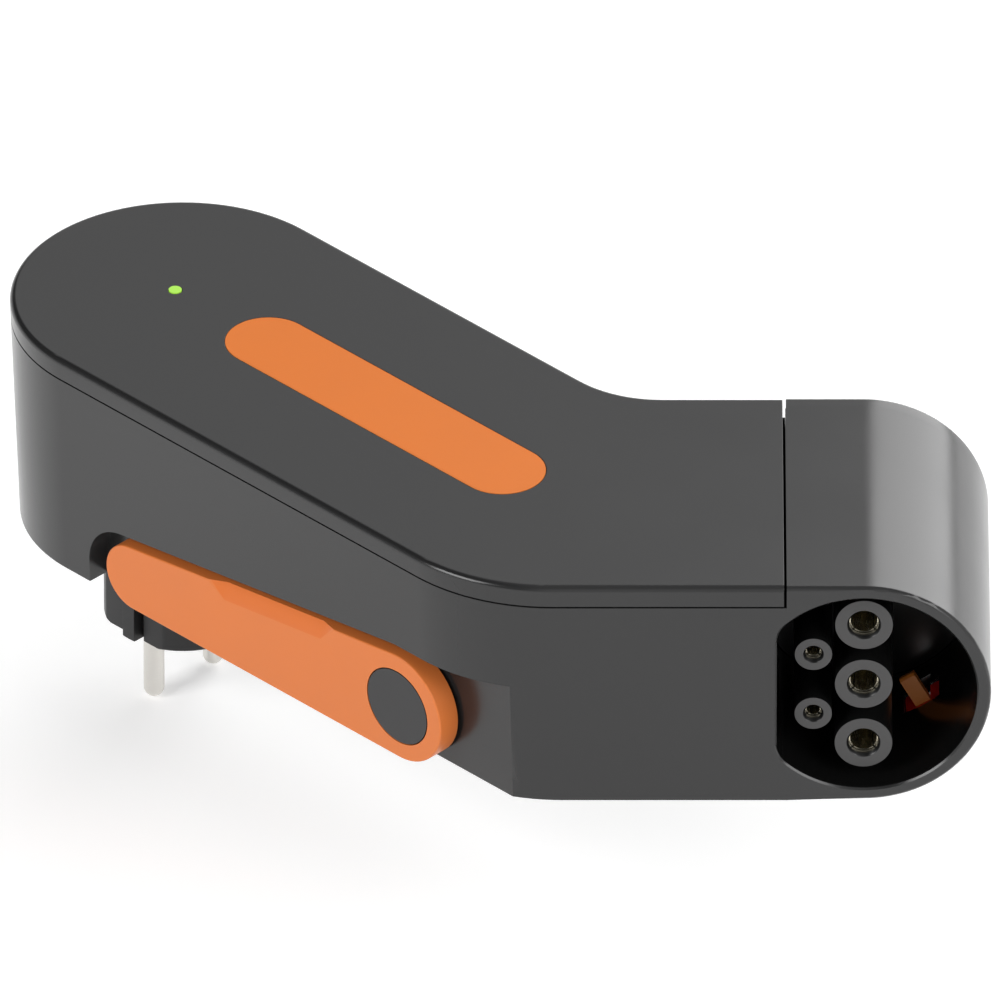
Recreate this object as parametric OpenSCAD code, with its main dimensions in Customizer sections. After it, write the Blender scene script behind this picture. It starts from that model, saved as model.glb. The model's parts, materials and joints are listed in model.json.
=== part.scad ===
// Compact charging dock for an electric car: a mains plug under one end of a bent
// body, a type 2 charging socket in the face of the other end, and a lock lever.
// Millimetres. The origin is the middle of the mains plug's front face, X runs along
// the arm to the bend, the lever lies on the -Y side and Z points up to the lid.

/* [Body] */
// Width of the arm and of the head
body_w = 78.5; // [76:0.5:90]
// Wall of the head above and below the socket, which sets the body's height
head_wall = 3.1; // [2.9:0.1:6]
// Distance from the mains plug's axis to the middle of the bend
arm_l = 116.3; // [114:0.1:150]
// Distance from the middle of the bend to the end of the head
head_l = 101.1; // [100:0.1:120]
// Angle between the arm and the head, in plan
bend = 45; // [40:1:50]
// Thickness of the housing's walls
wall = 2.7; // [2.2:0.1:3]
// Thickness of the housing's floor
floor_t = 2.7; // [2:0.1:3.5]
// Draft of the arm's walls, narrower at the bottom
draft = 2; // [0.5:0.5:2.5]
// Radius of the bend's outer corner
bend_r_front = 43; // [36:1:50]
// Radius of the bend's inner corner
bend_r_back = 26; // [20:1:40]
// Rounding of the head's front and back edges
head_round = 1.1; // [0.4:0.1:1.6]

/* [Lid] */
// Height of the lid's side
lid_side = 5.5; // [5:0.1:8]
// Thickness of the lid's plate
lid_t = 2.4; // [2:0.1:3]
// Rounding of the lid's top edge
lid_round = 1.5; // [0.5:0.1:2]
// Open line between the lid's side and the housing, filled further in by the seal
seam = 0.4; // [0.2:0.1:0.8]
// Distance from the socket's flat side to the slit where the lid ends
slit_past = 1.6; // [1:0.05:2.5]
// Width of that slit
slit_w = 0.6; // [0.4:0.1:1]
// Depth of the lid's tongue inside the housing
tongue_l = 2.6; // [1.5:0.1:4]
// Thickness of the lid's tongue
tongue_t = 1.3; // [1:0.1:2]
// Width of the rubber seal on the housing's rim
seal_w = 1.4; // [0.8:0.1:1.6]
// Depth of the lid's screw posts under the seam
post_drop = 12; // [10:0.5:16]

/* [Label and lamp] */
// Distance from the plug's axis to the label's first round end
label_from = 28; // [26:1:34]
// Length between the centres of the label's two round ends
label_l = 75.1; // [50:0.1:78]
// Radius of the label's round ends
label_r = 9.9; // [6:0.1:14]
// Thickness of the label
label_t = 0.6; // [0.3:0.1:1]
// Distance of the status lamp behind the plug's axis
lamp_x = -2.2; // [-8:0.1:4]
// Radius of the lamp's lens
lamp_r = 1.5; // [1:0.1:2.5]
// Length of the lamp's body under the lid
lamp_l = 7; // [4:1:10]

/* [Mains plug] */
// How far the plug stands out below the body
plug_reach = 28.6; // [24:0.1:34]
// Radius of the plug's neck
plug_r = 18.15; // [17:0.05:18.6]
// Distance from the plug's axis to its two flats
plug_flat = 15.8; // [15.2:0.1:16.4]
// Width of the guide rib on each flat
rib_w = 3.7; // [3:0.1:4.5]
// Distance from the plug's axis to the outside of its ribs
rib_reach = 17.7; // [17:0.1:17.8]
// Width and depth of the grooves beside each rib
groove = 1.2; // [0.8:0.1:2]
// Chamfer of the neck's front edge
neck_edge = 0.6; // [0.3:0.1:1]
// Thickness of the plug's flange inside the housing
flange_t = 3; // [2:0.1:4]
// Radius of the plug's flange
flange_r = 24.2; // [24:0.1:25]
// Height of the collar under the flange, above the housing's underside
collar_h = 5.2; // [4.6:0.1:7]
// Radius of the two mains pins
pin_r = 2.4; // [2:0.05:2.5]
// Distance between the two mains pins
pin_pitch = 19; // [18:0.5:20]
// Length of the mains pins in front of the plug's face
pin_l = 19; // [16:0.5:20]
// Width of an earth clip
clip_w = 5.6; // [4:0.1:7]
// Thickness of the earth clips' strip
clip_t = 0.8; // [0.5:0.1:1]

/* [Charging socket] */
// Radius of the socket's cavity
socket_r = 25.65; // [25:0.05:26]
// Distance from the cavity's axis to its flat side
socket_flat = 19.7; // [19:0.1:20.5]
// Radius of the corners beside the flat side
socket_corner = 6.5; // [3:0.1:7]
// Chamfer round the cavity's mouth
socket_edge = 0.4; // [0.2:0.1:0.8]
// Depth of the cavity
socket_depth = 45; // [42:0.5:47]
// Thickness of the contact carrier's back plate
insert_t = 4; // [3:0.5:5]
// Thickness of the ledge that the carrier seats on
ledge_t = 3; // [2:0.5:4]
// Width of that ledge
ledge_w = 3.8; // [3.4:0.1:4.2]
// How far the contact barrels' faces lie behind the front
barrel_back = 4.25; // [2:0.25:8]
// Radius of a power barrel
power_r = 6.55; // [6.3:0.05:7]
// Distance between the power barrels
power_pitch = 15.95; // [15:0.05:16.5]
// Radius of a signal barrel
signal_r = 4.25; // [4:0.05:4.6]
// Distance from the cavity's axis to the signal barrels, towards the flat
signal_x = 11.4; // [11.2:0.1:12]
// Distance between the signal barrels
signal_pitch = 16; // [14:0.1:17]
// Radius of the power pins that enter the socket
power_pin_r = 3; // [2.8:0.1:3.2]
// Radius of the signal pins that enter the socket
signal_pin_r = 1.5; // [1.3:0.1:1.7]
// Thickness of the barrels' inward lips, in front of the sleeves
lip = 2; // [1.4:0.1:4]
// Wall of a contact sleeve
sleeve_t = 0.9; // [0.6:0.1:1.1]
// Length of the slits in a sleeve's front
sleeve_slit_l = 12; // [8:0.5:16]
// Width of those slits
sleeve_slit_w = 0.4; // [0.3:0.05:0.6]

/* [Rear cover] */
// Thickness of the cover on the back of the head
cover_t = 4.65; // [4:0.05:6]
// Depth of the shallow pocket inside the cover
cover_pocket = 1.8; // [1:0.1:2.2]

/* [Lever] */
// Distance from the mains plug's axis to the lever's hub
hub_x = 107.9; // [106:0.1:110]
// Height of the lever's hub above the body's underside
hub_z = 13.6; // [13.3:0.1:14.5]
// Radius of the lever's hub end
lever_hub_r = 13.85; // [13:0.05:14.4]
// Distance from the hub to the tip's centre, along the arm
lever_l = 85.7; // [70:0.1:86.5]
// Drop of the tip's centre below the hub
lever_drop = 5.55; // [4.5:0.05:6]
// Radius of the lever's tip
lever_tip_r = 8.35; // [7:0.05:8.6]
// Thickness of the lever
lever_t = 5.6; // [5:0.1:6]
// Rounding of the lever's outer edge
lever_edge = 0.4; // [0.2:0.1:0.6]
// Radius of the cap on the lever's hub
cap_r = 9.4; // [8.9:0.1:10.4]
// Thickness of the cap
cap_t = 1.6; // [1.2:0.1:1.8]
// Length of the finger scoop in the lever's upper edge
scoop_l = 31.3; // [26:0.1:32]
// Height of the finger scoop on the lever's face
scoop_h = 3.8; // [3:0.1:5]
// Depth of the finger scoop at the lever's upper edge
scoop_deep = 1.8; // [1.2:0.1:2.4]
// Length of the sloped ends of the finger scoop
scoop_end = 5.4; // [3:0.1:6]
// Distance from the lever's tip centre to the near end of the scoop
scoop_from = 31; // [28:0.5:33]
// Depth of the lever's recess in the arm's side, at the underside
recess_depth = 5.65; // [5.2:0.05:6]
// Draft of the recess's floor
recess_draft = 1.2; // [0.5:0.1:2]
// Gap between the lever's hub end and the recess's edge above it
recess_gap = 2.5; // [1.5:0.1:3]
// Radius of the recess round the lever's tip
recess_tip_r = 12; // [11:0.1:12.6]
// Distance of the recess's tip centre past the lever's tip centre
recess_tip_x = 2.6; // [1.5:0.1:3.5]
// Distance of the recess's tip centre below the lever's tip centre
recess_tip_y = 1.9; // [1:0.1:3]
// Radius of the lever's shaft
shaft_r = 5; // [4:0.1:6]
// Length of the lock crank, from the shaft to its end hole
crank_l = 12; // [10:0.5:13]

/* [Lock] */
// Angle of the lock below the middle of the socket
lock_angle = 58; // [54:1:60]
// Width of the lock's window, round the wall
window_w = 9.4; // [8.4:0.1:10]
// Depth of the window's near edge behind the front
window_from = 28.3; // [24:0.1:30]
// Length of the window, into the depth
window_l = 7.4; // [7:0.1:8]
// Width of the lock bolt
bolt_w = 3.8; // [3:0.1:4.4]
// Length of the lock bolt from its pivot
bolt_l = 8.2; // [6:0.1:8.4]
// Lean of the lock bolt into the depth, at rest
bolt_lean = 10; // [5:1:15]
// Radius of the lock bolt's pivot pin
pivot_r = 0.6; // [0.5:0.05:0.7]

/* [Electronics] */
// Height of the circuit board above the body's underside
board_z = 12; // [10:0.5:14]
// Thickness of the circuit board
board_t = 1.6; // [1:0.1:2.4]
// Distance from the mains plug's axis to the circuit board
board_x = 27; // [26:0.5:28]
// Length of the circuit board
board_l = 62; // [61:0.5:63]
// Width of the circuit board
board_w = 46; // [45:0.5:47]
// Length of the power module
module_l = 26; // [20:0.5:27]
// Width of the power module
module_w = 22; // [16:0.5:22]
// Height of the power module
module_h = 18; // [10:0.5:26]
// Length of a relay, along the board
relay_l = 17; // [12:0.5:17]
// Width of a relay
relay_w = 15; // [10:0.5:15]
// Height of a relay
relay_h = 19; // [12:0.5:26]
// Radius of a capacitor
capacitor_r = 6; // [3:0.5:6]
// Height of a capacitor
capacitor_h = 18; // [10:0.5:26]
// Radius of the current sensor
sensor_r = 5.5; // [4:0.5:5.5]
// Radius of the sensor's hole
sensor_hole_r = 2.6; // [1.5:0.1:3]
// Height of the current sensor
sensor_h = 8; // [5:0.5:12]

/* [Clearances] */
// Sliding clearance round pieces that are pushed in
slip = 0.15; // [0.1:0.05:0.25]
// Running clearance round shafts and pins
run_gap = 0.05; // [0.03:0.01:0.08]
// Gap between the lever and the recess behind it
lever_gap = 0.95; // [0.4:0.05:1.2]

/* [Hidden] */
$fn = 64;

half_w = body_w / 2;
body_h = 2 * (socket_r + head_wall);
seam_z = body_h - lid_side;
socket_at = head_l - body_h / 2;
slit_at = socket_at - socket_flat + slit_past;
slit_end = slit_at + slit_w;
bay_end = socket_at - socket_flat - wall;
arc_step = 3;
cut = 1;

charcoal = [0.27, 0.27, 0.28];
black = [0.07, 0.07, 0.075];
orange = [0.85, 0.42, 0.14];
steel = [0.75, 0.75, 0.74];
brass = [0.72, 0.6, 0.3];

// Points along an arc about c, from angle a0 to a1, without its first point if asked
function arc(c, r, a0, a1, first = 0) =
  let (n = max(2, ceil(abs(a1 - a0) / arc_step)))
  [for (i = [first:n]) c + r * [cos(a0 + (a1 - a0) * i / n), sin(a0 + (a1 - a0) * i / n)]];

// Half the arm's width at a height above the underside
function arm_half(z) = half_w - (body_h - z) * tan(draft);

recess_floor = arm_half(0) - recess_depth;
recess_top = lever_hub_r + recess_gap;

// Plan point from the distance along the head and towards the socket's face
function head_pt(h, n) = [arm_l + h * cos(bend) + n * sin(bend), h * sin(bend) - n * cos(bend)];

// Where the line at y along the arm meets the line at n along the head
function bend_x(y, n) = arm_l + (n + y * cos(bend)) / sin(bend);

// Plan outline of the body, drawn in by an inset, from the head's front corner at
// h_end round the arm's end to the head's back corner
function body_outline(z, inset, h_end) =
  let (
    a = arm_half(z) - inset,
    b = half_w - inset,
    rf = bend_r_front - inset,
    rb = bend_r_back + inset
  )
  concat(
    [head_pt(h_end, b)],
    arc([bend_x(rf - a, b - rf), rf - a], rf, bend - 90, -90),
    arc([0, 0], a, -90, -270),
    arc([bend_x(a + rb, -b - rb), a + rb], rb, -90, bend - 90),
    [head_pt(h_end, -b)]
  );

// Side outline of the head's end from the bottom round to the top, in distance along
// the head and height. The bottom inset fades out towards h0.
function head_side(h0, inset) =
  concat(
    [[h0, 0]],
    arc([socket_at, body_h / 2], body_h / 2 - inset, -90, 90),
    [[h0, body_h - inset]]
  );

function lift(points, z) = [for (p = points) [p[0], p[1], z]];

// Triangles that close a ring of m points from index `from`, as rungs across from its
// two ends to its middle, which suits a bent outline
function cap(m, from, skip = 0) = [
  for (j = [skip:floor(m / 2) - 1]) let (a = from + j, b = from + m - 1 - j)
    each concat([[a, a + 1, b]], a + 1 < b - 1 ? [[a + 1, b - 1, b]] : [])
];

function turned(faces) = [for (f = faces) [for (i = [len(f) - 1:-1:0]) f[i]]];

// Solid skinned over rings of points that run clockwise seen from the last ring
module skin(rings) {
  m = len(rings[0]);
  last = len(rings) - 1;
  sides = [
    for (i = [0:last - 1]) for (j = [0:m - 1])
      let (a = i * m + j, b = i * m + (j + 1) % m)
      each [[a, b, b + m], [a, b + m, a + m]]
  ];
  polyhedron(
    points = [for (ring = rings) each ring],
    faces = concat(sides, turned(cap(m, 0)), cap(m, last * m)),
    convexity = 8
  );
}

module on_body() {
  translate([0, 0, plug_reach]) children();
}

// X along the head, Y to its back, Z up from the underside
module at_head() {
  translate([arm_l, 0, plug_reach]) rotate([0, 0, bend]) children();
}

// Middle of the socket's front: X along the head, Y up, Z out of the cavity
module at_socket() {
  at_head() translate([socket_at, -half_w, body_h / 2]) rotate([90, 0, 0]) children();
}

// The lock's place on the socket: X outwards through the wall, Y round the wall
module at_lock() {
  at_socket() rotate([0, 0, -lock_angle]) children();
}

// Middle of the lever's hub on the recess's floor: X along the arm, Y up, Z outwards
module at_hub() {
  translate([hub_x, -recess_floor - hub_z * tan(recess_draft), plug_reach + hub_z])
    rotate([90 + recess_draft, 0, 0]) children();
}

// A screw with a pan head, its seat at z = 0 and its shank down
module screw(shank_r, shank_l, head_r, head_h) {
  difference() {
    union() {
      cylinder(r = head_r, h = head_h);
      translate([0, 0, -shank_l]) cylinder(r = shank_r, h = shank_l + head_h / 2);
    }
    translate([0, 0, head_h / 2]) cylinder(r = head_r * 0.45, h = head_h, $fn = 6);
  }
}

// Outline of the socket's cavity, let out by a margin
function socket_outline(margin = 0, corner = socket_corner) =
  let (
    r = socket_r + margin,
    rc = corner + margin,
    cx = -(socket_flat + margin - rc),
    cy = sqrt((r - rc) ^ 2 - cx ^ 2),
    turn = atan2(cy, cx)
  )
  concat(
    arc([0, 0], r, turn, -turn),
    arc([cx, -cy], rc, -turn, -180, 1),
    arc([cx, cy], rc, 180, turn)
  );

// HOUSING

lid_post_r = 4.5;
lid_screw_r = 1.5;
lid_screw_l = 13;
lid_screw_head = 2.8;
lid_screw_head_h = 2.2;
post_top = seam_z - post_drop;
post_seat = 5;
lid_posts = [
  [-21.5, 21.6],
  [-21.5, -21.6],
  [90, 29.5],
  head_pt(bay_end - lid_post_r - 3, half_w - wall - lid_post_r - 1.5),
  head_pt(bay_end - lid_post_r - 3, -(half_w - wall - lid_post_r - 1.5))
];
board_posts = [
  for (x = [board_x + 4, board_x + board_l - 4]) for (y = [-1, 1]) [x, y * (board_w / 2 - 4)]
];
board_post_r = 3;
board_screw_r = 1.25;
board_screw_l = 5;
neck_gap = 0.25;
boss_r = 3;
boss_l = body_w - cover_t - socket_depth - insert_t - ledge_t;
cover_sink_r = 2.9;
cover_sink = 2.2;
boss_in = 2.05;
cover_boss_r = socket_r - boss_in;
cover_boss_x = slit_end + cover_sink_r + 2.2 - socket_at;
cover_boss_y = sqrt(cover_boss_r ^ 2 - cover_boss_x ^ 2);
cover_bosses = [[cover_boss_x, cover_boss_y], [cover_boss_x, -cover_boss_y], [cover_boss_r, 0]];
cover_screw_r = 1.4;
cover_screw_l = 9;
passage_h = 24;
shaft_wall = 3.2;
shaft_boss_r = shaft_r + shaft_wall;
shaft_boss_l = 9;
plug_screw_at = flange_r - 3;
plug_screw_r = 1.25;
plug_screw_l = 6.5;
insert_screw_at = socket_r - 2.45;
insert_screw_r = 1.15;
insert_angles = [38, -38, 90, -90];

// The housing's outer form: the drafted arm up to the seam, and the head's full height
module housing_block() {
  lower = lift(body_outline(0, 0, slit_end), 0);
  upper = lift(body_outline(seam_z, 0, slit_end), seam_z);
  m = len(lower);
  levels = concat(
    [for (t = [0:30:90]) [half_w - head_round * (1 - cos(t)), head_round * (1 - sin(t))]],
    [[-half_w, 0]]
  );
  last = len(levels) - 1;
  rings = [
    for (s = levels)
      [for (p = head_side(slit_end, s[1])) let (q = head_pt(p[0], s[0])) [q[0], q[1], p[1]]]
  ];
  k = len(rings[0]);
  at = function (i, j) j > 0 ? 2 * m + i * k + j : i == 0 ? 0 : i == last ? m - 1 : 2 * m + i * k;
  arm_sides = [
    for (j = [0:m - 2]) each [[j, j + 1, m + j + 1], [j, m + j + 1, m + j]]
  ];
  head_sides = [
    for (i = [0:last - 1]) for (j = [0:k - 2])
      each [[at(i, j), at(i, j + 1), at(i + 1, j + 1)], [at(i, j), at(i + 1, j + 1), at(i + 1, j)]]
  ];
  // The underside's first rung is a fan, because the head's rings end on it
  underside = turned(concat(
    cap(m, 0, 1),
    [[1, m - 2, m - 1]],
    [for (i = [last:-1:1]) [1, at(i, 0), at(i - 1, 0)]]
  ));
  bulkhead = concat([for (i = [last:-1:0]) at(i, k - 1)], [m, 2 * m - 1]);
  front = concat([m], [for (j = [k - 1:-1:0]) at(0, j)]);
  back = concat([for (j = [0:k - 1]) at(last, j)], [2 * m - 1]);
  polyhedron(
    points = concat(lower, upper, [for (ring = rings) each ring]),
    faces = concat(arm_sides, head_sides, underside, cap(m, m), [bulkhead, front, back]),
    convexity = 8
  );
}

recess_left = lever_l + recess_tip_x + recess_tip_r;

// The hollow for the electronics, kept away from the lever's recess
module bay() {
  difference() {
    skin([
      for (z = [floor_t, seam_z + cut]) lift(body_outline(z, wall, bay_end), z)
    ]);
    translate([0, 0, -plug_reach]) at_hub() translate([-recess_left - wall, -hub_z - cut, -wall])
      cube([recess_left + wall + 2 * lever_hub_r, hub_z + recess_top + wall + cut, 3 * wall]);
  }
}

// Outline of the lever's recess, in the hub's frame: its upper edge is the common
// tangent of the round tip and of a circle about the hub
function recess_outline() =
  let (
    tip = [-lever_l - recess_tip_x, -lever_drop - recess_tip_y],
    slope = atan2(-tip[1], -tip[0]) + asin((recess_top - recess_tip_r) / norm(tip)),
    below = -hub_z - 4 * cut
  )
  concat(
    [[tip[0] - recess_tip_r, below]],
    arc(tip, recess_tip_r, 180, 90 + slope),
    arc([0, 0], recess_top, 90 + slope, 90),
    [[arm_l, recess_top], [arm_l, below]]
  );

module neck_outline(margin) {
  intersection() {
    circle(r = plug_r + margin);
    square([2 * plug_r + 4 * margin + cut, 2 * (plug_flat + margin)], center = true);
  }
  square([rib_w + 2 * margin, 2 * (rib_reach + margin)], center = true);
}

module housing() color(charcoal) {
  difference() {
    union() {
      on_body() difference() {
        housing_block();
        bay();
      }
      // Posts for the lid's screws and the circuit board
      for (p = lid_posts) on_body() translate([p[0], p[1], floor_t / 2])
        cylinder(r = lid_post_r, h = post_top - floor_t / 2);
      for (p = board_posts) on_body() translate([p[0], p[1], floor_t / 2])
        cylinder(r = board_post_r, h = board_z - floor_t / 2);
      // Collar under the plug's flange
      on_body() translate([0, 0, floor_t / 2]) cylinder(r = flange_r + 0.6, h = collar_h - floor_t / 2);
      // Bearing of the lever's shaft
      at_hub() translate([0, 0, -shaft_boss_l]) cylinder(r = shaft_boss_r, h = shaft_boss_l - wall / 2);
    }
    // Socket: the cavity, the opening in the ledge and the chamber behind it
    at_socket() translate([0, 0, -socket_depth - insert_t])
      linear_extrude(height = socket_depth + insert_t + cut) polygon(socket_outline());
    at_socket() translate([0, 0, -socket_depth - insert_t - ledge_t - cut])
      linear_extrude(height = ledge_t + 2 * cut) polygon(socket_outline(-ledge_w, socket_corner + 1));
    // Chamfer round the cavity's mouth
    at_socket() skin([for (z = [-socket_edge - 0.1, cut]) lift(socket_outline(z + socket_edge), z)]);
    difference() {
      at_socket() translate([0, 0, -body_w + cover_t - cut])
        linear_extrude(height = boss_l + cut) polygon(socket_outline());
      for (p = cover_bosses) at_socket() translate([p[0], p[1], -body_w])
        cylinder(r = boss_r, h = body_w);
    }
    // Seat of the rear cover
    at_head() translate([slit_end, half_w - cover_t, -cut]) cube([head_l, cover_t + cut, body_h + 2 * cut]);
    // Passage for the wires from the bay to the chamber behind the socket
    at_head() translate([bay_end - cut, half_w - cover_t - boss_l + cut, (body_h - passage_h) / 2])
      cube([wall + 3 * cut, boss_l - 6, passage_h]);
    // Recess and bearing of the lever
    at_hub() linear_extrude(height = 4 * lever_t) polygon(recess_outline());
    at_hub() translate([0, 0, -shaft_boss_l - cut]) cylinder(r = shaft_r + run_gap, h = shaft_boss_l + 2 * cut);
    // Opening for the plug's neck, and holes for its screws
    on_body() translate([0, 0, -cut]) linear_extrude(height = collar_h + 2 * cut) neck_outline(neck_gap);
    for (t = [45:90:315]) on_body() rotate([0, 0, t])
      translate([plug_screw_at, 0, collar_h + flange_t - plug_screw_l - 0.4])
        cylinder(r = plug_screw_r + run_gap, h = plug_screw_l);
    // Screw holes of the lid, sunk from below, and of the board
    for (p = lid_posts) on_body() translate([p[0], p[1], -cut]) {
      cylinder(r = lid_screw_head + 0.4, h = post_top - post_seat + cut);
      cylinder(r = lid_screw_r + 0.2, h = post_top + 2 * cut);
    }
    for (p = board_posts) on_body() translate([p[0], p[1], board_z - board_screw_l])
      cylinder(r = board_screw_r + run_gap, h = board_screw_l + cut);
    // Screw holes of the rear cover and the contact carrier
    for (p = cover_bosses) at_socket() translate([p[0], p[1], -body_w + cover_t - cut])
      cylinder(r = cover_screw_r + run_gap, h = cover_screw_l + cut);
    for (t = insert_angles) at_socket() rotate([0, 0, t])
      translate([insert_screw_at, 0, -socket_depth - insert_t - ledge_t - cut])
        cylinder(r = insert_screw_r + slip, h = ledge_t + 2 * cut);
    // Window of the lock, and the groove that takes the folded bolt
    at_lock() translate([socket_r - 2 * cut, -window_w / 2, -window_from - window_l])
      cube([3 * wall, window_w, window_l]);
    at_lock() translate([socket_r - 2 * cut, -bolt_w / 2 - 2 * slip, -pivot_depth - bolt_l - 4 * slip])
      cube([pivot_x + bolt_behind + 2 * slip - socket_r + 2 * cut, bolt_w + 4 * slip, bolt_l]);
  }
}

// LID

module top_lid() color(charcoal) {
  turns = [0, 18, 36, 54, 72, 90];
  tongue_z = seam_z + seam - tongue_l;
  inside_z = body_h - lid_t;
  on_body() difference() {
    union() {
      difference() {
        skin(concat(
          [lift(body_outline(seam_z + seam, 0, slit_at), seam_z + seam)],
          [
            for (t = turns)
              let (z = body_h - lid_round * (1 - sin(t)))
              lift(body_outline(z, lid_round * (1 - cos(t)), slit_at), z)
          ]
        ));
        translate([0, 0, seam_z + seam - cut])
          linear_extrude(height = inside_z - seam_z - seam + cut)
            polygon(body_outline(seam_z, wall, bay_end));
      }
      translate([0, 0, tongue_z]) linear_extrude(height = inside_z - tongue_z + lid_t / 2) difference() {
        polygon(body_outline(seam_z, wall + slip + 0.1, bay_end - slip - 0.1));
        polygon(body_outline(seam_z, wall + slip + 0.1 + tongue_t, bay_end - slip - 0.1 - tongue_t));
      }
      for (p = lid_posts) translate([p[0], p[1], post_top])
        cylinder(r = lid_post_r - 1, h = body_h - lid_t / 2 - post_top);
    }
    for (p = lid_posts) translate([p[0], p[1], post_top - cut])
      cylinder(r = lid_screw_r + run_gap, h = lid_screw_l - post_seat + 2 * cut);
    translate([lamp_x, 0, tongue_z]) cylinder(r = lamp_r + slip, h = body_h);
    translate([label_from, 0, body_h - label_t]) linear_extrude(height = label_t + cut) label_outline(slip);
  }
}

module lid_seal() color(black) {
  inner = wall - 0.2;
  end = bay_end + wall - 0.4;
  on_body() translate([0, 0, seam_z]) linear_extrude(height = seam) difference() {
    polygon(body_outline(seam_z, inner - seal_w, end));
    polygon(body_outline(seam_z, inner, end - seal_w));
  }
}

module status_led() color([0.45, 0.85, 0.25]) {
  on_body() translate([lamp_x, 0, 0]) {
    translate([0, 0, body_h - lid_t]) cylinder(r = lamp_r, h = lid_t + 0.15);
    translate([0, 0, body_h - lid_t - lamp_l]) cylinder(r = lamp_r + 1, h = lamp_l);
  }
}

module label_outline(margin) {
  hull() {
    circle(r = label_r + margin);
    translate([label_l, 0]) circle(r = label_r + margin);
  }
}

module lid_label() color(orange) {
  on_body() translate([label_from, 0, body_h - label_t]) linear_extrude(height = label_t) label_outline(0);
}

module lid_screws() color(steel) {
  for (p = lid_posts) on_body() translate([p[0], p[1], post_top - post_seat]) rotate([180, 0, 0])
    screw(lid_screw_r, lid_screw_l, lid_screw_head, lid_screw_head_h);
}

// REAR COVER

module head_rear_cover() color(charcoal) {
  turns = [0, 30, 60, 90];
  levels = concat(
    [[half_w - cover_t, 0]],
    [for (t = turns) [half_w - head_round * (1 - sin(t)), head_round * (1 - cos(t))]]
  );
  left = slit_end + slip;
  difference() {
    at_head() skin([
      for (s = levels)
        [for (p = concat(
            [[left, s[1]]],
            arc([socket_at, body_h / 2], body_h / 2 - s[1], -90, 90),
            [[left, body_h - s[1]]]
          )) [p[0], s[0], p[1]]]
    ]);
    difference() {
      at_socket() translate([0, 0, -body_w + cover_t - cover_pocket])
        linear_extrude(height = cover_pocket + cut) polygon(socket_outline(-1.5));
      for (p = cover_bosses) at_socket() translate([p[0], p[1], -body_w]) cylinder(r = boss_r + 1.2, h = body_w);
    }
    for (p = cover_bosses) at_socket() translate([p[0], p[1], -body_w - cut]) {
      cylinder(r = cover_sink_r, h = cover_sink + cut);
      cylinder(r = cover_screw_r + slip, h = cover_t + 2 * cut);
    }
  }
}

module rear_cover_screws() color(steel) {
  for (p = cover_bosses) at_socket() translate([p[0], p[1], -body_w + cover_sink]) rotate([180, 0, 0])
    screw(cover_screw_r, cover_t - cover_sink + cover_screw_l - 1, cover_sink_r - 0.3, cover_sink - 0.3);
}

// MAINS PLUG

stem_r = 1.8;
stem_top = collar_h + flange_t + 6;
clip_seat = 15.4;
clip_h = 20;
clip_bow = 2.4;

module plug_body() color(charcoal) {
  difference() {
    union() {
      linear_extrude(height = plug_reach + collar_h + flange_t / 2) difference() {
        neck_outline(0);
        for (x = [-1, 1]) for (y = [-1, 1])
          translate([x * (rib_w + groove) / 2, y * (plug_flat - groove / 2 + cut / 2)])
            square([groove, groove + cut], center = true);
      }
      on_body() translate([0, 0, collar_h]) cylinder(r = flange_r, h = flange_t);
    }
    // Countersunk holes for the pins' shoulders and stems
    for (y = [-1, 1]) translate([0, y * pin_pitch / 2, 0]) rotate_extrude() polygon([
      [0, -cut], [pin_r + 2 * run_gap, -cut], [pin_r + 2 * run_gap, 0],
      [stem_r + run_gap, pin_r - stem_r + run_gap], [stem_r + run_gap, plug_reach + stem_top], [0, plug_reach + stem_top]
    ]);
    for (x = [-1, 1]) translate([x * (clip_seat + plug_r / 2), 0, clip_h / 2 + 0.5])
      cube([plug_r, clip_w + 4 * slip, clip_h + cut + 1], center = true);
    for (t = [45:90:315]) on_body() rotate([0, 0, t]) translate([plug_screw_at, 0, collar_h - cut])
      cylinder(r = plug_screw_r + slip, h = flange_t + 2 * cut);
    rotate_extrude() polygon([
      [plug_r - neck_edge - cut, -cut], [plug_r + cut, -cut], [plug_r + cut, neck_edge + cut]
    ]);
  }
}

module plug_screws() color(steel) {
  for (t = [45:90:315]) on_body() rotate([0, 0, t]) translate([plug_screw_at, 0, collar_h + flange_t])
    screw(plug_screw_r, plug_screw_l, 2.2, 1.8);
}

module mains_pin(y) color(steel) {
  translate([0, y, 0]) rotate_extrude() polygon(concat(
    [[0, plug_reach + stem_top], [0, -pin_l]],
    arc([0, pin_r - pin_l], pin_r, -90, 0, 1),
    [[pin_r, 0], [stem_r, pin_r - stem_r], [stem_r, plug_reach + stem_top]]
  ));
}

module line_pin() {
  mains_pin(-pin_pitch / 2);
}

module neutral_pin() {
  mains_pin(pin_pitch / 2);
}

module earth_clips() color(brass) {
  bow_r = (clip_h ^ 2 / 4 + clip_bow ^ 2) / (2 * clip_bow);
  spread = asin(clip_h / 2 / bow_r);
  for (side = [0, 180]) rotate([0, 0, side]) translate([clip_seat + clip_t + clip_bow - bow_r, 0, clip_h / 2])
    rotate([90, 0, 0]) translate([0, 0, -clip_w / 2]) linear_extrude(height = clip_w) polygon(concat(
      arc([0, 0], bow_r, -spread, spread),
      arc([0, 0], bow_r - clip_t, spread, -spread)
    ));
}

// CHARGING SOCKET

lip_play = 0.3;
lip_draft = 0.1;
mouth_l = 0.8;
mouth_w = 0.8;
power_bore = power_pin_r + run_gap;
signal_bore = signal_pin_r + run_gap;
tail_l = 8;
power_places = [for (i = [-1:1]) [0, i * power_pitch]];
signal_places = [for (i = [-1, 1]) [-signal_x, i * signal_pitch / 2]];

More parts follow.
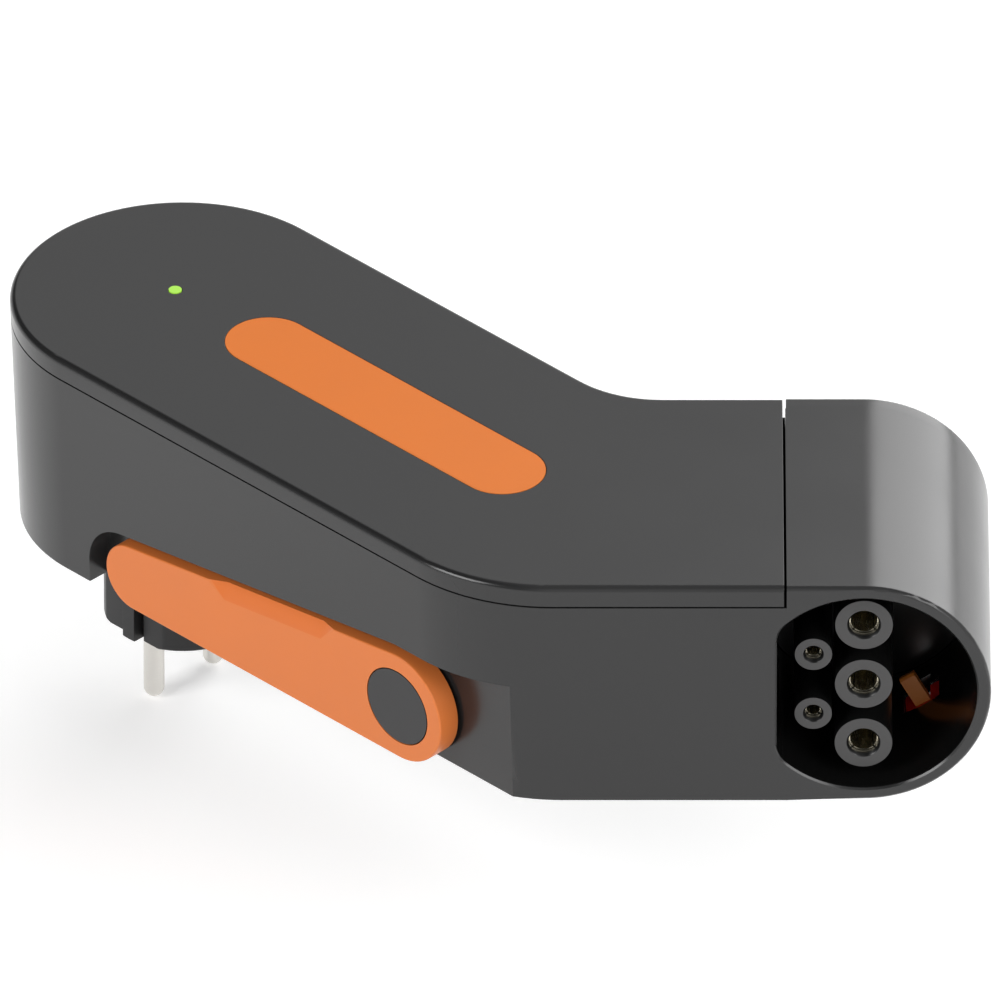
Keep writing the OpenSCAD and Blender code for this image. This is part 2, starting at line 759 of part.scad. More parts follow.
// Barrel at a place on the socket, bored for its sleeve, with a drafted lip and a wider mouth
module barrel(p, r, bore) {
  lip_r = bore + lip_play;
  translate([p[0], p[1], 0]) rotate_extrude() polygon([
    [r, -socket_depth], [r, -barrel_back], [bore + mouth_w, -barrel_back],
    [lip_r, -barrel_back - mouth_l], [lip_r + lip_draft, -barrel_back - lip],
    [bore + sleeve_t + run_gap, -barrel_back - lip], [bore + sleeve_t + run_gap, -socket_depth]
  ]);
}

// Plate at the cavity's back, with a hole behind each barrel
module socket_insert() color([0.3, 0.3, 0.31]) {
  at_socket() difference() {
    translate([0, 0, -socket_depth - insert_t]) linear_extrude(height = insert_t) polygon(socket_outline(-slip));
    for (p = power_places) translate([p[0], p[1], -body_w])
      cylinder(r = power_bore + sleeve_t + run_gap, h = body_w);
    for (p = signal_places) translate([p[0], p[1], -body_w])
      cylinder(r = signal_bore + sleeve_t + run_gap, h = body_w);
    for (t = insert_angles) rotate([0, 0, t]) translate([insert_screw_at, 0, -socket_depth - insert_t - cut])
      cylinder(r = insert_screw_r + run_gap, h = insert_t);
  }
}

module power_barrels() color([0.3, 0.3, 0.31]) {
  for (p = power_places) at_socket() barrel(p, power_r, power_bore);
}

module signal_barrels() color([0.3, 0.3, 0.31]) {
  for (p = signal_places) at_socket() barrel(p, signal_r, signal_bore);
}

module insert_screws() color(steel) {
  for (t = insert_angles) at_socket() rotate([0, 0, t])
    translate([insert_screw_at, 0, -socket_depth - insert_t - ledge_t]) rotate([180, 0, 0])
      screw(insert_screw_r, ledge_t + insert_t - 1.5, 2, 1.6);
}

// A contact sleeve, open towards the front, slit for its spring, with a solid tail
module contact(p, bore) {
  outer = bore + sleeve_t;
  front = -barrel_back - lip - slip;
  back = -socket_depth - insert_t;
  at_socket() translate([p[0], p[1], 0]) difference() {
    union() {
      translate([0, 0, back - 1]) cylinder(r = outer, h = front - back + 1);
      translate([0, 0, back - tail_l]) cylinder(r = outer * 0.6, h = tail_l);
    }
    translate([0, 0, back + 6]) cylinder(r = bore, h = front - back);
    for (t = [45, 135]) rotate([0, 0, t])
      translate([-outer - cut, -sleeve_slit_w / 2, front - sleeve_slit_l])
        cube([2 * outer + 2 * cut, sleeve_slit_w, sleeve_slit_l + cut]);
  }
}

module line_contact() color(brass) contact(power_places[2], power_bore);
module neutral_contact() color(brass) contact(power_places[1], power_bore);
module earth_contact() color(brass) contact(power_places[0], power_bore);
module pilot_contact() color(brass) contact(signal_places[1], signal_bore);
module proximity_contact() color(brass) contact(signal_places[0], signal_bore);

// LOCK

bolt_ahead = 1.15;
bolt_behind = 0.6;
root_r = 1.3;
bridge_t = 0.6;
pivot_x = socket_r + bolt_ahead;
pivot_depth = window_from + slip + bridge_t + slip + root_r;

// Bolt's side view: X inwards from the pivot, Y into the depth
module bolt_outline() {
  circle(r = root_r);
  polygon([
    [0, -bolt_ahead],
    [bolt_l - 0.6, -bolt_ahead],
    [bolt_l, -bolt_ahead + 0.6],
    [bolt_l, bolt_behind],
    [0, bolt_behind]
  ]);
}

module lock_bolt() color([0.72, 0.34, 0.1]) {
  at_lock() translate([pivot_x, bolt_w / 2, -pivot_depth]) rotate([90, 180, 0]) difference() {
    rotate([0, 0, bolt_lean]) linear_extrude(height = bolt_w) bolt_outline();
    translate([0, 0, -cut]) cylinder(r = pivot_r + run_gap, h = bolt_w + 2 * cut);
  }
}

module lock_guide() color([0.6, 0.07, 0.06]) {
  guide_l = window_l - 0.8;
  outside = body_h / 2 - socket_r - 0.5;
  at_lock() difference() {
    translate([socket_r + 0.1, -window_w / 2 + slip, -window_from - slip - guide_l])
      cube([outside, window_w - 2 * slip, guide_l]);
    translate([socket_r - cut, -bolt_w / 2 - slip, -window_from - slip - guide_l - cut])
      cube([4 * wall, bolt_w + 2 * slip, guide_l - bridge_t + cut]);
    translate([pivot_x, window_w / 2, -pivot_depth]) rotate([90, 0, 0]) cylinder(r = pivot_r, h = window_w);
  }
}

module lock_pin() color(steel) {
  at_lock() translate([pivot_x, window_w / 2 - slip, -pivot_depth]) rotate([90, 0, 0])
    cylinder(r = pivot_r, h = window_w - 2 * slip);
}

// LEVER

face = lever_gap + lever_t;
head_t = 1.4;
head_r = shaft_r + 3;
crank_t = 3;
crank_gap = 0.6;
ring_t = 1;
ring_bite = 0.5;
clip_from = -shaft_boss_l - crank_gap - crank_t - ring_t - 0.2;

lever_rise = atan2(lever_drop, lever_l);
lever_lean = asin((lever_hub_r - lever_tip_r) / norm([lever_l, lever_drop]));

// Outline of the lever, drawn in by an inset: two arcs joined by their common tangents
function lever_outline(inset) = concat(
  arc([0, 0], lever_hub_r - inset, 90 + lever_rise + lever_lean, -90 + lever_rise - lever_lean),
  arc([-lever_l, -lever_drop], lever_tip_r - inset, -90 + lever_rise - lever_lean, -270 + lever_rise + lever_lean)
);

module lever() color(orange) {
  at_hub() difference() {
    skin(concat(
      [lift(lever_outline(0), lever_gap)],
      [for (t = [0:30:90]) lift(lever_outline(lever_edge * (1 - cos(t))), face - lever_edge * (1 - sin(t)))]
    ));
    translate([0, 0, -cut]) cylinder(r = shaft_r + run_gap, h = 2 * lever_t);
    translate([0, 0, face - cap_t]) cylinder(r = cap_r + 2 * slip, h = cap_t + cut);
    translate([0, 0, face - cap_t - head_t]) cylinder(r = head_r + run_gap, h = head_t + cut);
    // Finger scoop: a sloped flat with run-out ends on the upper edge
    translate([-lever_l, -lever_drop, face]) rotate([0, 0, lever_rise + lever_lean])
      translate([scoop_from, lever_tip_r, 0]) scoop_cutter();
  }
}

// Cutter with its floor sloping from the lever's face to its upper edge
module scoop_cutter() {
  slope = atan(scoop_deep / scoop_h);
  depth = 3 * scoop_deep * cos(slope);
  translate([0, -scoop_h, 0]) rotate([90 - slope, 0, 0]) translate([0, 0, -3 * scoop_h])
    linear_extrude(height = 4 * scoop_h)
      polygon([[0, 0], [scoop_l, 0], [scoop_l + 3 * scoop_end, depth], [-3 * scoop_end, depth]]);
}

module lever_shaft() color(steel) {
  groove_t = ring_t + 0.1;
  at_hub() difference() {
    union() {
      translate([0, 0, face - cap_t - head_t]) cylinder(r = head_r, h = head_t);
      translate([0, 0, clip_from - 1.4]) cylinder(r = shaft_r, h = face - cap_t - head_t / 2 - clip_from + 1.4);
    }
    translate([0, 0, clip_from]) difference() {
      cylinder(r = shaft_r + cut, h = groove_t);
      translate([0, 0, -cut]) cylinder(r = shaft_r - ring_bite, h = groove_t + 2 * cut);
    }
  }
}

module shaft_clip() color(steel) {
  at_hub() translate([0, 0, clip_from + run_gap]) difference() {
    cylinder(r = shaft_r + 1.8, h = ring_t);
    translate([0, 0, -cut]) cylinder(r = shaft_r - ring_bite + run_gap, h = ring_t + 2 * cut);
    translate([0, -1.2, -cut]) cube([2 * shaft_r, 2.4, ring_t + 2 * cut]);
  }
}

module hub_cap() color(black) {
  at_hub() translate([0, 0, face - cap_t]) cylinder(r = cap_r, h = cap_t);
}

module lock_crank() color(black) {
  eye_r = 3;
  at_hub() translate([0, 0, clip_from + ring_t + 0.2]) difference() {
    union() {
      cylinder(r = shaft_r + 2.6, h = crank_t);
      translate([-eye_r, 0, 0]) cube([2 * eye_r, crank_l, crank_t]);
      translate([0, crank_l, 0]) cylinder(r = eye_r, h = crank_t);
    }
    translate([0, 0, -cut]) cylinder(r = shaft_r + run_gap, h = crank_t + 2 * cut);
    translate([0, crank_l, -cut]) cylinder(r = 1.1, h = crank_t + 2 * cut);
  }
}

// ELECTRONICS

top_z = board_z + board_t;

module circuit_board() color([0.08, 0.3, 0.16]) {
  on_body() difference() {
    translate([board_x, -board_w / 2, board_z]) cube([board_l, board_w, board_t]);
    for (p = board_posts) translate([p[0], p[1], board_z - cut])
      cylinder(r = board_screw_r + slip, h = board_t + 2 * cut);
  }
}

module board_screws() color(steel) {
  for (p = board_posts) on_body() translate([p[0], p[1], top_z])
    screw(board_screw_r, board_t + board_screw_l - 0.5, 2.4, 1.8);
}

module_x = board_x + 8;
row_y = -board_w / 2 + 2;
part_gap = 1;

module power_module() color(black) {
  on_body() translate([module_x, row_y, top_z]) cube([module_l, module_w, module_h]);
}

module relays() color([0.12, 0.13, 0.16]) {
  for (i = [0, 1]) on_body() translate([module_x + module_l + 3 * part_gap, row_y + i * (relay_w + part_gap), top_z])
    cube([relay_l, relay_w, relay_h]);
}

module capacitors() color([0.2, 0.22, 0.3]) {
  for (i = [0, 1]) on_body()
    translate([module_x + capacitor_r + i * 2 * (capacitor_r + part_gap), board_w / 2 - 5 - capacitor_r, top_z])
      cylinder(r = capacitor_r, h = capacitor_h);
}

module current_sensor() color([0.75, 0.6, 0.2]) {
  on_body() translate([module_x + module_l + 2 * sensor_r, board_w / 2 - sensor_r - 0.3, top_z]) difference() {
    cylinder(r = sensor_r, h = sensor_h);
    translate([0, 0, -cut]) cylinder(r = sensor_hole_r, h = sensor_h + 2 * cut);
  }
}

housing();
top_lid();
lid_seal();
status_led();
lid_label();
lid_screws();
head_rear_cover();
rear_cover_screws();
plug_body();
plug_screws();
line_pin();
neutral_pin();
earth_clips();
socket_insert();
power_barrels();
signal_barrels();
insert_screws();
line_contact();
neutral_contact();
earth_contact();
pilot_contact();
proximity_contact();
lock_guide();
lock_pin();
lock_bolt();
lever();
lever_shaft();
shaft_clip();
hub_cap();
lock_crank();
circuit_board();
board_screws();
power_module();
relays();
capacitors();
current_sensor();
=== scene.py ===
# Compact charging dock for an electric car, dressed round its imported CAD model.
# Metres, in the CAD model's own frame: the origin is the middle of the mains plug's
# front face, X runs along the arm and Z points up to the lid.

import json
import math

import bpy
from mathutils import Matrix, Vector

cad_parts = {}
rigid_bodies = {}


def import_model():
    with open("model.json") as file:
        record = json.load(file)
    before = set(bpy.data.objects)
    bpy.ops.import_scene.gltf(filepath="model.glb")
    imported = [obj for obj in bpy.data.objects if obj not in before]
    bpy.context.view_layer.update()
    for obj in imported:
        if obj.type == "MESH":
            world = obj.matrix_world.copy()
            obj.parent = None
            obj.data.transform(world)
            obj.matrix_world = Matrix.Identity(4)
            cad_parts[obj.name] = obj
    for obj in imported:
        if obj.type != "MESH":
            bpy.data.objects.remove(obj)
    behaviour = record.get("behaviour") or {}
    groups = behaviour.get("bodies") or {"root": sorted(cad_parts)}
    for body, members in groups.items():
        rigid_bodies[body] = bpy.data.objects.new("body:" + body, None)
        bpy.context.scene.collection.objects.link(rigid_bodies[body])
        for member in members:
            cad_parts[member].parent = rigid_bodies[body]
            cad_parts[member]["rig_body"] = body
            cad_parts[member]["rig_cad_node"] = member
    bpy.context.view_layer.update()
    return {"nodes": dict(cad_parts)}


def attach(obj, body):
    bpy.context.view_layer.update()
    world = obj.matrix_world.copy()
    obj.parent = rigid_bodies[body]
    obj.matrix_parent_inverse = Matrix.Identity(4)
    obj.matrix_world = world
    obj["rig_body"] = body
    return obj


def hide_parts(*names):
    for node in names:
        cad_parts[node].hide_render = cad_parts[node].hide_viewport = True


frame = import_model()
bpy.ops.object.select_all(action="DESELECT")

# THE VIEW
# A long lens from the right front, as the picture was taken: almost no perspective,
# the head's socket turned to the viewer and the lid seen from above.
view_azimuth = math.radians(45)
view_elevation = math.radians(33.4)
view_back = Vector((
    math.sin(view_azimuth) * math.cos(view_elevation),
    -math.cos(view_azimuth) * math.cos(view_elevation),
    math.sin(view_elevation),
))
view_point = Vector((0.080445, 0.021947, 0.057095))
pixels_across, pixels_per_metre = 1000, 4400
view_width = pixels_across / pixels_per_metre
lens, sensor = 1700, 36
nearest, farthest = 1, 100
camera_data = bpy.data.cameras.new("camera")
camera_data.lens, camera_data.sensor_width = lens, sensor
camera_data.clip_start, camera_data.clip_end = nearest, farthest
camera = bpy.data.objects.new("camera", camera_data)
camera.location = view_point + view_back * view_width * lens / sensor
camera.rotation_mode = "QUATERNION"
camera.rotation_quaternion = (-view_back).to_track_quat("-Z", "Y")
bpy.context.scene.collection.objects.link(camera)
bpy.context.scene.camera = camera
bpy.context.scene.view_settings.view_transform = "Standard"


# THE STUDIO
# A white sweep just under the pins' tips, in a pale room that is dark at the left and
# dimmer overhead, so that the lid's rolled edge stays dark. A soft key lamp stands in
# front; one behind the socket end and one at its right light its round side.
def between(tree, value, low, high, start=0.3, end=0.7, blend="LINEAR"):
    span = tree.nodes.new("ShaderNodeMapRange")
    span.interpolation_type = blend
    span.inputs["From Min"].default_value = start
    span.inputs["From Max"].default_value = end
    span.inputs["To Min"].default_value = low
    span.inputs["To Max"].default_value = high
    tree.links.new(value, span.inputs["Value"])
    return span.outputs["Result"]


def product(tree, first, second):
    times = tree.nodes.new("ShaderNodeMath")
    times.operation = "MULTIPLY"
    tree.links.new(first, times.inputs[0])
    tree.links.new(second, times.inputs[1])
    return times.outputs["Value"]


float_a, float_b = 2, 3


def towards(tree, share, first, level):
    mix = tree.nodes.new("ShaderNodeMix")
    mix.data_type = "FLOAT"
    mix.inputs[float_b].default_value = level
    tree.links.new(share, mix.inputs["Factor"])
    tree.links.new(first, mix.inputs[float_a])
    return mix.outputs[0]


def vector_step(tree, operation, first, second=None):
    step = tree.nodes.new("ShaderNodeVectorMath")
    step.operation = operation
    tree.links.new(first, step.inputs[0])
    if second is not None:
        step.inputs[1].default_value = second
    return step


left_edge, right_edge = -0.3, -0.02
dark_level, pale_level = 0.05, 1.08
ceiling_start, ceiling_end, ceiling_level = 0.6, 0.8, 0.5
low_top, low_bottom, low_level = 0.3, 0.05, 1.12
camera_right = Vector((math.sqrt(0.5), math.sqrt(0.5), 0))
world = bpy.data.worlds.new("pale_room")
bpy.context.scene.world = world
world.use_nodes = True
air = world.node_tree
air.nodes.clear()
direction = air.nodes.new("ShaderNodeTexCoord").outputs["Generated"]
split = air.nodes.new("ShaderNodeSeparateXYZ")
air.links.new(direction, split.inputs["Vector"])
height = split.outputs["Z"]
rightward = vector_step(air, "DOT_PRODUCT", direction, camera_right).outputs["Value"]
curtain = between(air, rightward, dark_level, pale_level, left_edge, right_edge, "SMOOTHSTEP")
ceiling = between(air, height, 1, ceiling_level, ceiling_start, ceiling_end)
low_wall = between(air, height, 0, 1, low_top, low_bottom, "SMOOTHSTEP")
walls = towards(air, low_wall, product(air, curtain, ceiling), low_level)
room = air.nodes.new("ShaderNodeBackground")
backdrop = air.nodes.new("ShaderNodeBackground")
backdrop.inputs["Color"].default_value = (1, 1, 1, 1)
ray = air.nodes.new("ShaderNodeLightPath")
either = air.nodes.new("ShaderNodeMixShader")
sky = air.nodes.new("ShaderNodeOutputWorld")
air.links.new(walls, room.inputs["Strength"])
air.links.new(ray.outputs["Is Camera Ray"], either.inputs["Fac"])
air.links.new(room.outputs["Background"], either.inputs[1])
air.links.new(backdrop.outputs["Background"], either.inputs[2])
air.links.new(either.outputs["Shader"], sky.inputs["Surface"])


def soft_lamp(name, place, aim, size, power):
    data = bpy.data.lights.new(name, "AREA")
    data.shape, data.energy = "RECTANGLE", power
    data.size, data.size_y = size
    lamp = bpy.data.objects.new(name, data)
    lamp.location = place
    lamp.rotation_mode = "QUATERNION"
    lamp.rotation_quaternion = (aim - place).to_track_quat("-Z", "Y")
    lamp.visible_camera = False
    bpy.context.scene.collection.objects.link(lamp)


socket_end = Vector((0.2, 0.1, 0.06))
soft_lamp("key_lamp", Vector((-0.19, -1.34, 0.9)), view_point, (0.8, 0.75), 13.5)
soft_lamp("end_lamp", Vector((-0.17, 1.06, 0.58)), socket_end, (0.75, 1.05), 7.0)
soft_lamp("right_lamp", Vector((1.37, 0.13, 0.8)), socket_end, (0.8, 0.8), 8.0)

floor_z, floor_size, floor_grey = -0.0192, 60, 0.8
glow_seen, glow_mirrored = 0.42, 0.5
bpy.ops.mesh.primitive_plane_add(size=floor_size, location=(0, 0, floor_z))
sweep = bpy.context.object
sweep.name = "floor"
paper = bpy.data.materials.new("white_paper")
paper.use_nodes = True
sheet = paper.node_tree
sheet.nodes.clear()
matt = sheet.nodes.new("ShaderNodeBsdfDiffuse")
matt.inputs["Color"].default_value = (floor_grey, floor_grey, floor_grey, 1)
glow = sheet.nodes.new("ShaderNodeEmission")
glow.inputs["Color"].default_value = (1, 1, 1, 1)
seen = sheet.nodes.new("ShaderNodeLightPath")
seen_level = sheet.nodes.new("ShaderNodeMath")
seen_level.operation = "MULTIPLY"
seen_level.inputs[1].default_value = glow_seen
gloss_level = sheet.nodes.new("ShaderNodeMath")
gloss_level.operation = "MULTIPLY_ADD"
gloss_level.inputs[1].default_value = glow_mirrored
both = sheet.nodes.new("ShaderNodeAddShader")
paper_out = sheet.nodes.new("ShaderNodeOutputMaterial")
sheet.links.new(seen.outputs["Is Camera Ray"], seen_level.inputs[0])
sheet.links.new(seen.outputs["Is Glossy Ray"], gloss_level.inputs[0])
sheet.links.new(seen_level.outputs["Value"], gloss_level.inputs[2])
sheet.links.new(gloss_level.outputs["Value"], glow.inputs["Strength"])
sheet.links.new(matt.outputs["BSDF"], both.inputs[0])
sheet.links.new(glow.outputs["Emission"], both.inputs[1])
sheet.links.new(both.outputs["Shader"], paper_out.inputs["Surface"])
sweep.data.materials.append(paper)
bpy.ops.object.select_all(action="DESELECT")


# HOUSING
# The tub that carries everything: one injection moulding in charcoal plastic with a
# fine spark-eroded texture. Its socket well is painted near-black as painted shade, and
# glossy.
def finish_nodes(name):
    material = bpy.data.materials.new(name)
    material.use_nodes = True
    tree = material.node_tree
    return material, tree, tree.nodes["Principled BSDF"]


def cloud(tree, scale, detail=3, stretch=None):
    place = tree.nodes.new("ShaderNodeTexCoord").outputs["Object"]
    if stretch:
        drawn = tree.nodes.new("ShaderNodeMapping")
        drawn.inputs["Scale"].default_value = stretch
        tree.links.new(place, drawn.inputs["Vector"])
        place = drawn.outputs["Vector"]
    noise = tree.nodes.new("ShaderNodeTexNoise")
    noise.inputs["Scale"].default_value = scale
    noise.inputs["Detail"].default_value = detail
    tree.links.new(place, noise.inputs["Vector"])
    return noise.outputs["Fac"]


colour_a, colour_b, colour_out = 6, 7, 2


def blend_colour(tree, share, first, second):
    mix = tree.nodes.new("ShaderNodeMix")
    mix.data_type = "RGBA"
    tree.links.new(share, mix.inputs["Factor"])
    for socket, colour in ((colour_a, first), (colour_b, second)):
        if isinstance(colour, tuple):
            mix.inputs[socket].default_value = (*colour, 1)
        else:
            tree.links.new(colour, mix.inputs[socket])
    return mix.outputs[colour_out]


def tinted(colour, factor):
    return tuple(min(1, channel * factor) for channel in colour)


def grain(tree, surface, scale, depth, strength=0.5):
    bump = tree.nodes.new("ShaderNodeBump")
    bump.inputs["Strength"].default_value = strength
    bump.inputs["Distance"].default_value = depth
    tree.links.new(cloud(tree, scale, detail=2), bump.inputs["Height"])
    tree.links.new(bump.outputs["Normal"], surface.inputs["Normal"])


def moulded_plastic(name, colour, roughness=0.42, texture=1500, ior=1.5):
    flow_scale, relief, swing = 35, 0.00001, 0.02
    material, tree, surface = finish_nodes(name)
    surface.inputs["IOR"].default_value = ior
    flow = cloud(tree, flow_scale)
    shade = blend_colour(tree, flow, tinted(colour, 0.96), tinted(colour, 1.04))
    tree.links.new(shade, surface.inputs["Base Color"])
    sheen = between(tree, flow, roughness - swing, roughness + swing)
    tree.links.new(sheen, surface.inputs["Roughness"])
    grain(tree, surface, texture, relief)
    return material


def finish(piece, material):
    piece.data.materials.clear()
    piece.data.materials.append(material)


def smooth_skin(node, name, body, edge=0):
    weld, flat_angle = 2e-6, math.radians(0.3)
    edge_angle, smooth_angle = math.radians(40), math.radians(30)
    bpy.ops.object.select_all(action="DESELECT")
    source = frame["nodes"][node]
    source.select_set(True)
    bpy.context.view_layer.objects.active = source
    bpy.ops.object.duplicate()
    piece = bpy.context.object
    piece.name = name
    piece.data.name = name
    piece.parent = None
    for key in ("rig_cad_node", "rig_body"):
        del piece[key]
    bpy.ops.object.mode_set(mode="EDIT")
    bpy.ops.mesh.select_all(action="SELECT")
    bpy.ops.mesh.customdata_custom_splitnormals_clear()
    bpy.ops.mesh.remove_doubles(threshold=weld)
    bpy.ops.mesh.dissolve_limited(angle_limit=flat_angle)
    bpy.ops.object.mode_set(mode="OBJECT")
    if edge:
        broken = piece.modifiers.new("broken_edge", "BEVEL")
        broken.width, broken.segments = edge, 2
        broken.limit_method, broken.angle_limit = "ANGLE", edge_angle
        bpy.ops.object.modifier_apply(modifier=broken.name)
    bpy.ops.object.shade_smooth_by_angle(angle=smooth_angle)
    even = piece.modifiers.new("even", "WEIGHTED_NORMAL")
    even.keep_sharp = True
    bpy.ops.object.modifier_apply(modifier=even.name)
    cut_up = piece.modifiers.new("cut_up", "TRIANGULATE")
    cut_up.keep_custom_normals = True
    bpy.ops.object.modifier_apply(modifier=cut_up.name)
    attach(piece, body)
    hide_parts(node)
    piece.select_set(False)
    return piece


def near_axis(tree, middle, way):
    place = tree.nodes.new("ShaderNodeTexCoord").outputs["Object"]
    offset = vector_step(tree, "SUBTRACT", place, middle).outputs["Vector"]
    along = vector_step(tree, "DOT_PRODUCT", offset, way)
    across = vector_step(tree, "CROSS_PRODUCT", offset, way)
    reach = vector_step(tree, "LENGTH", across.outputs["Vector"])
    return along.outputs["Value"], reach.outputs["Value"]


charcoal, charcoal_roughness = (0.018, 0.018, 0.0183), 0.22
broken_edge = 0.00015
housing_plastic = moulded_plastic("housing_plastic", charcoal, charcoal_roughness)
tree = housing_plastic.node_tree
surface = tree.nodes["Principled BSDF"]
socket_middle = Vector((0.195213, 0.023405, 0.05735))
socket_way = Vector((math.sqrt(0.5), -math.sqrt(0.5), 0))
head_way = Vector((math.sqrt(0.5), math.sqrt(0.5), 0))
well_radius, radius_fade = 0.0259, 0.0001
well_start, depth_fade = 0.0006, 0.0002
painted_shade_black, well_roughness = (0.005, 0.005, 0.005), 0.2
# Painted shade: the well's wall, inside its radius and behind its mouth, is painted
# near-black.
depth, radius = near_axis(tree, socket_middle, socket_way)
inside = between(tree, radius, 1, 0, well_radius, well_radius + radius_fade)
deep_in = between(tree, depth, 1, 0, -well_start - depth_fade, -well_start)
well = product(tree, inside, deep_in)
outside_colour = surface.inputs["Base Color"].links[0].from_socket
outside_roughness = surface.inputs["Roughness"].links[0].from_socket
shade = blend_colour(tree, well, outside_colour, painted_shade_black)
polish = towards(tree, well, outside_roughness, well_roughness)
tree.links.new(shade, surface.inputs["Base Color"])
tree.links.new(polish, surface.inputs["Roughness"])
housing = smooth_skin("housing", "housing_shell", "body", broken_edge)
finish(housing, housing_plastic)
# Painted shadow: the slit's walls and foot get near-black, almost unreflecting plastic in
# place of the shadow in the narrow gap.
slit_painted_shadow = moulded_plastic("slit_painted_shadow", painted_shade_black, 0.9, ior=1.2)
slit_from, slit_to = -0.01825, -0.01735
floor_from, floor_low, floor_high = -0.025, 0.022, 0.0245
square_on = 0.9


# Puts the painted shadow on the slit's walls and foot.
def paint_slit_shadow(piece):
    piece.data.materials.append(slit_painted_shadow)
    for face in piece.data.polygons:
        offset = face.center - socket_middle
        along = offset.dot(head_way)
        across = abs(face.normal.dot(head_way)) > square_on
        wall = across and slit_from < along < slit_to
        at_foot = floor_from < along < slit_to and floor_low < offset.z < floor_high
        foot = at_foot and face.normal.z > square_on
        face.material_index = 1 if wall or foot else 0


paint_slit_shadow(housing)

# MAINS PLUG
# The neck of the earthed plug with its guide ribs, screwed down inside the housing;
# two nickelled pins and two sprung brass earth clips stand in it.
plug_plastic = moulded_plastic("plug_plastic", (0.016, 0.016, 0.0165), ior=1.42)
plug = smooth_skin("plug_body", "plug_neck", "body", broken_edge)
finish(plug, plug_plastic)


def plated_metal(name, colour, roughness):
    streak_scale, streak_detail, stretch = 8, 4, (40, 40, 900)
    grain_scale, grain_depth, grain_strength = 1200, 0.000004, 0.2
    material, tree, surface = finish_nodes(name)
    surface.inputs["Metallic"].default_value = 1
    streaks = cloud(tree, streak_scale, streak_detail, stretch)
    shade = blend_colour(tree, streaks, tinted(colour, 0.95), tinted(colour, 1.04))
    tree.links.new(shade, surface.inputs["Base Color"])
    sheen = between(tree, streaks, roughness - 0.04, roughness + 0.05)
    tree.links.new(sheen, surface.inputs["Roughness"])
    grain(tree, surface, grain_scale, grain_depth, grain_strength)
    return material


nickel = plated_metal("nickel", (0.69, 0.67, 0.63), 0.32)
for pin in ("line_pin", "neutral_pin"):
    finish(frame["nodes"][pin], nickel)
brass = plated_metal("brass", (0.86, 0.79, 0.6), 0.25)
finish(frame["nodes"]["earth_clips"], brass)
zinc = plated_metal("zinc", (0.6, 0.6, 0.59), 0.35)
finish(frame["nodes"]["plug_screws"], zinc)

# CHARGING SOCKET
# The contact carrier, one moulding of a plate and five barrels, seated on the ledge at
# the back of the well and held by four screws. The barrels' faces are matt grey and
# the rest is painted black as painted shade; a slit brass sleeve stands in each barrel.
carrier_grey = moulded_plastic("carrier_grey", (0.052, 0.051, 0.051), 0.34, ior=1.45)
carrier_painted_shade = moulded_plastic("carrier_painted_shade", painted_shade_black, 0.3)
carrier_edge = 0.00012
face_depth, face_play = 0.00425, 0.0002
for node, name in (
    ("socket_insert", "contact_plate"),
    ("power_barrels", "power_tubes"),
    ("signal_barrels", "signal_tubes"),
):
    moulding = smooth_skin(node, name, "body", carrier_edge)
    finish(moulding, carrier_grey)
    moulding.data.materials.append(carrier_painted_shade)
    # Painted shade: all but the front-facing barrel faces are painted black.
    for face in moulding.data.polygons:
        forward = (face.center - socket_middle).dot(socket_way)
        facing = face.normal.dot(socket_way) > square_on
        face.material_index = 0 if facing and forward > -face_depth - face_play else 1
for contact in ("line", "neutral", "earth", "pilot", "proximity"):
    finish(frame["nodes"][contact + "_contact"], brass)
finish(frame["nodes"]["insert_screws"], zinc)

# LOCK
# The bolt that holds the car cable's plug: an orange tongue on a steel cross pin in a
# red guide, which is pressed into the window of the well's wall.
guide_plastic = moulded_plastic("guide_plastic", (0.75, 0.015, 0.012), 0.3)
finish(frame["nodes"]["lock_guide"], guide_plastic)
bolt_plastic = moulded_plastic("bolt_plastic", (0.62, 0.19, 0.03), 0.35)
finish(frame["nodes"]["lock_bolt"], bolt_plastic)
finish(frame["nodes"]["lock_pin"], zinc)
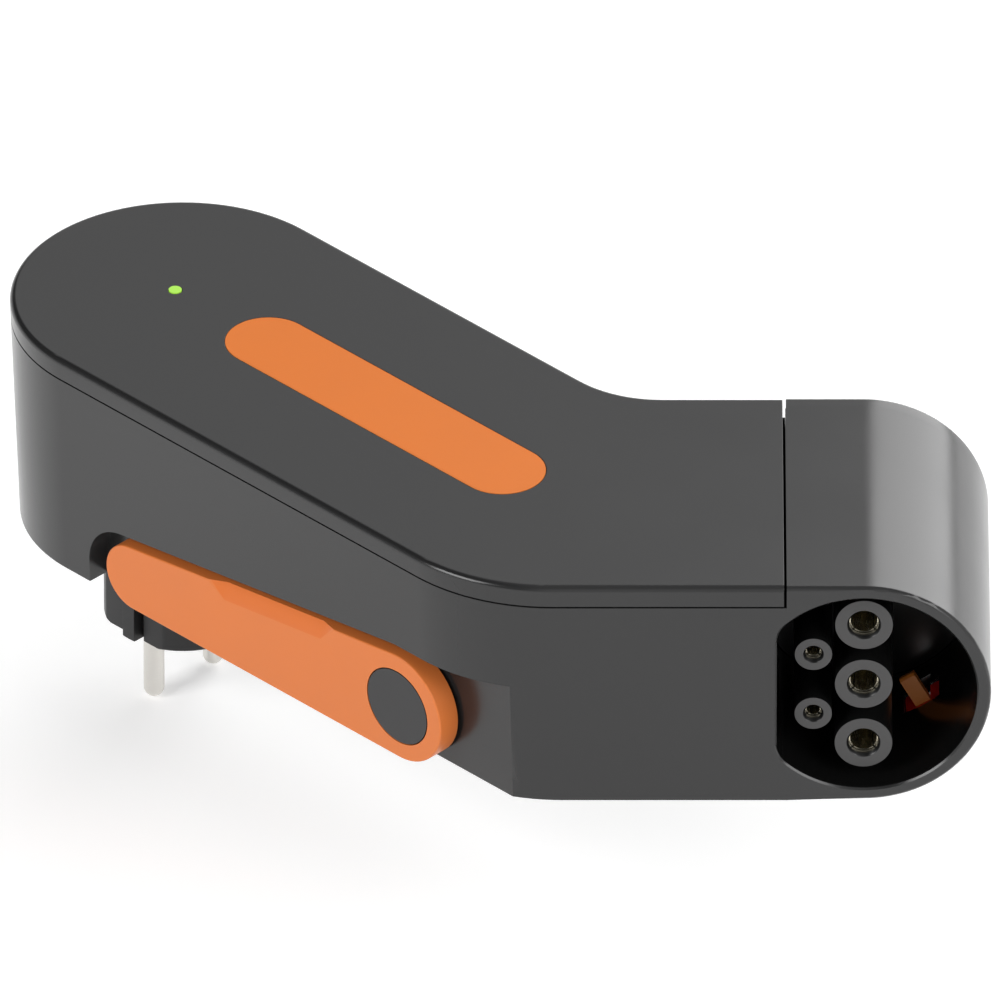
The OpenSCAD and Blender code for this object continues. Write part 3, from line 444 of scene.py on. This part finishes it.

# LEVER
# The long orange handle in the arm's recess, on a steel shaft held by a clip inside;
# a charcoal cap covers the shaft's head, and a crank inside pulls the lock's cable.
# The finger scoop's upward-leaning facet in its upper edge is painted a deeper orange:
# painted shade.
lever_orange, scoop_shaded_orange = (0.77, 0.205, 0.045), (0.76, 0.172, 0.022)
lever_plastic = moulded_plastic("lever_plastic", lever_orange, 0.4, 1300, 1.42)
lever = smooth_skin("lever", "lever_handle", "lever")
finish(lever, lever_plastic)
# Painted shade: the scoop's faces that lean up and to the front get the deeper orange.
scoop_painted_shade = moulded_plastic("scoop_painted_shade", scoop_shaded_orange, 0.4, 1300, 1.42)
lever.data.materials.append(scoop_painted_shade)
least_rise, least_front, smallest_scoop_face = 0.3, 0.8, 8e-6
for face in lever.data.polygons:
    leaning = face.normal.z > least_rise and face.normal.y < -least_front
    face.material_index = 1 if leaning and face.area > smallest_scoop_face else 0
cap_plastic = moulded_plastic("cap_plastic", (0.031, 0.031, 0.032), 0.45, ior=1.42)
finish(frame["nodes"]["hub_cap"], cap_plastic)
finish(frame["nodes"]["lock_crank"], cap_plastic)
for part in ("lever_shaft", "shaft_clip"):
    finish(frame["nodes"][part], zinc)

# ELECTRONICS
# The circuit board on its four posts, with the power module, two relays, two
# capacitors and the ring that measures the current.
resist = moulded_plastic("solder_resist", (0.012, 0.09, 0.03), 0.25)
finish(frame["nodes"]["circuit_board"], resist)
for part in ("power_module", "relays"):
    finish(frame["nodes"][part], cap_plastic)
sleeve = moulded_plastic("capacitor_sleeve", (0.02, 0.028, 0.06), 0.2)
finish(frame["nodes"]["capacitors"], sleeve)
finish(frame["nodes"]["current_sensor"], brass)
finish(frame["nodes"]["board_screws"], zinc)

# LID
# The flat top with its rolled edge, closed onto a rubber seal and drawn down by five
# screws from below; the status lamp and a bare orange label are let into it.
seal_rubber = moulded_plastic("seal_rubber", (0.012, 0.012, 0.012), 0.7)
finish(frame["nodes"]["lid_seal"], seal_rubber)
lid_plastic = moulded_plastic("lid_plastic", charcoal, charcoal_roughness)
lid = smooth_skin("top_lid", "lid_shell", "body", broken_edge)
finish(lid, lid_plastic)
# The lid's faces in the slit get the same painted shadow.
paint_slit_shadow(lid)
label_film = moulded_plastic("label_film", (0.77, 0.185, 0.011), 0.45, 1800, 1.42)
finish(frame["nodes"]["lid_label"], label_film)
lens_green = moulded_plastic("lens_green", (0.3, 0.62, 0.06), 0.2)
lens_surface = lens_green.node_tree.nodes["Principled BSDF"]
lens_surface.inputs["Emission Color"].default_value = (0.4, 0.75, 0.05, 1)
lens_surface.inputs["Emission Strength"].default_value = 0.35
finish(frame["nodes"]["status_led"], lens_green)
finish(frame["nodes"]["lid_screws"], zinc)

# REAR COVER
# The plate that closes the back of the head, let into the housing and held by three
# countersunk screws.
cover = smooth_skin("head_rear_cover", "rear_cover", "body", broken_edge)
finish(cover, lid_plastic)
finish(frame["nodes"]["rear_cover_screws"], zinc)
